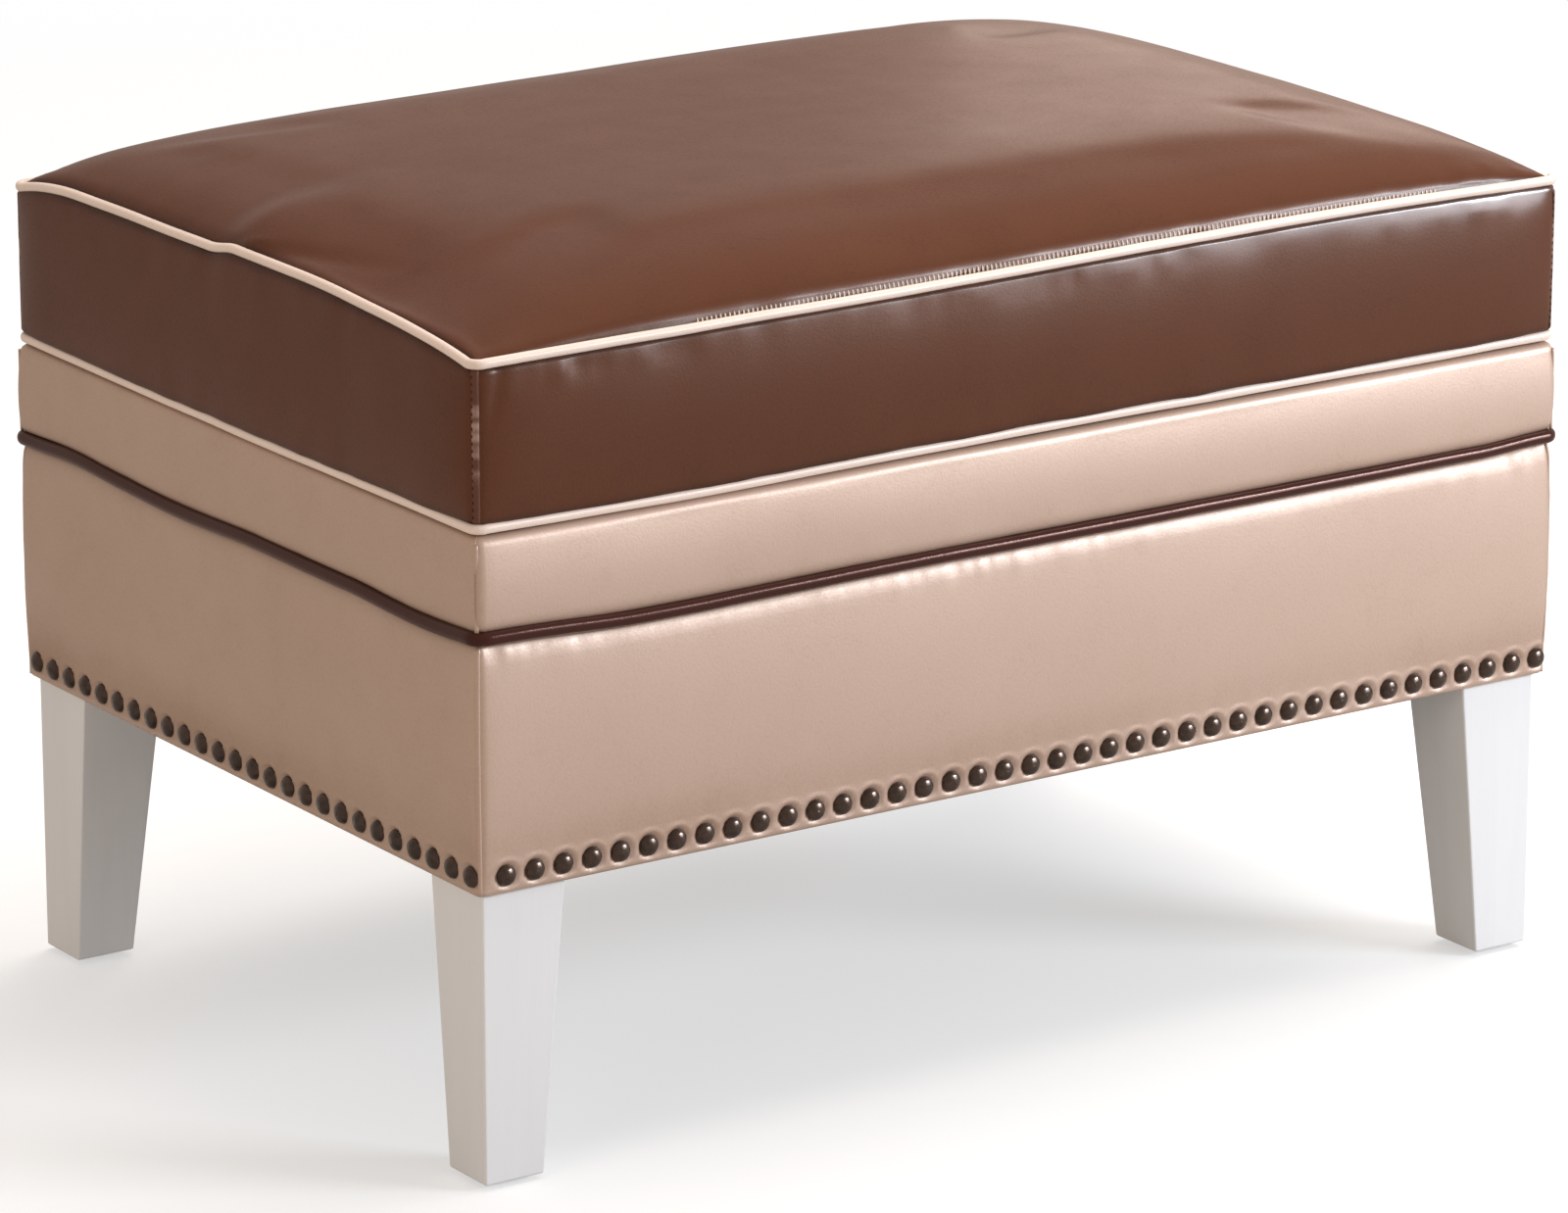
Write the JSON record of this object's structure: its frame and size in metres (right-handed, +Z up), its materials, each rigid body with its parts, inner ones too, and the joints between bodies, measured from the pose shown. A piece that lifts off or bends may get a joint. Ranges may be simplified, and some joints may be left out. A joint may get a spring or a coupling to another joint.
{
  "type": "upholstered bench",
  "caption": "Leather bed bench: a loose box cushion with pale piped edges on a sprung, padded base with a plain band, dark piping, a nail-trimmed skirt and tapered painted legs",
  "frame": {"origin": "centre of the bounding box's bottom face, on the floor between the four legs", "axes": "+X runs along the width, to the right of someone who faces the front; the front faces -Y; +Z is up"},
  "size_m": [0.776, 0.528, 0.525],
  "materials": {
    "leg_paint": "painted, satin silver white",
    "glide_plastic": "moulded, matt",
    "steel": "zinc plated",
    "spring_wire": "drawn wire",
    "hardwood": "planed, unfinished",
    "plywood": "sawn, unfinished",
    "felt": "needled",
    "foam": "open cell foam",
    "fibre": "bonded fibre",
    "black_cloth": "non-woven",
    "base_leather": "smooth satin champagne",
    "cushion_leather": "smooth brown",
    "pale_leather": "smooth pale pink cream",
    "dark_leather": "polished dark brown",
    "nail_bronze": "antique bronze",
    "zip_cloth": "woven tape",
    "zip_metal": "antique brass"
  },
  "bodies": {
    "base": {"leg_front_left": "leg_paint", "leg_front_right": "leg_paint", "leg_back_left": "leg_paint", "leg_back_right": "leg_paint", "glides": "glide_plastic", "hanger_bolts": "steel", "t_nuts": "steel", "corner_gussets": "plywood", "corner_blocks": "hardwood", "front_rail": "hardwood", "back_rail": "hardwood", "left_rail": "hardwood", "right_rail": "hardwood", "centre_stretcher": "hardwood", "seat_springs": "spring_wire", "spring_clips": "steel", "spring_felt": "felt", "deck_foam": "foam", "deck_cloth": "black_cloth", "skirt_padding": "fibre", "skirt_front": "base_leather", "skirt_back": "base_leather", "skirt_left": "base_leather", "skirt_right": "base_leather", "band_front": "base_leather", "band_back": "base_leather", "band_left": "base_leather", "band_right": "base_leather", "dark_piping": "dark_leather", "nails_front": "nail_bronze", "nails_back": "nail_bronze", "nails_left": "nail_bronze", "nails_right": "nail_bronze", "dust_cover": "black_cloth"},
    "cushion": {"foam_core": "foam", "crown_fill": "fibre", "side_fill": "fibre", "cushion_top": "cushion_leather", "cushion_bottom": "cushion_leather", "boxing_front": "cushion_leather", "boxing_back": "cushion_leather", "boxing_left": "cushion_leather", "boxing_right": "cushion_leather", "top_piping": "pale_leather", "bottom_piping": "pale_leather", "zip_tape": "zip_cloth", "zip_chain": "zip_metal"},
    "slider": {"zip_slider": "zip_metal"},
    "pull_tab": {"zip_pull": "zip_metal"}
  },
  "joints": [
    {"name": "cushion_lift", "type": "slide", "parent": "base", "child": "cushion", "axis": [0, 0, 1], "range_m": [0, 0.25]},
    {"name": "zip_slide", "type": "slide", "parent": "cushion", "child": "slider", "axis": [1, 0, 0], "range_m": [0, 0.598]},
    {"name": "zip_pull_turn", "type": "hinge", "parent": "slider", "child": "pull_tab", "pos_m": [-0.29925, 0.2624, 0.43625], "axis": [0, 0, 1], "range_deg": [0, 180]}
  ]
}
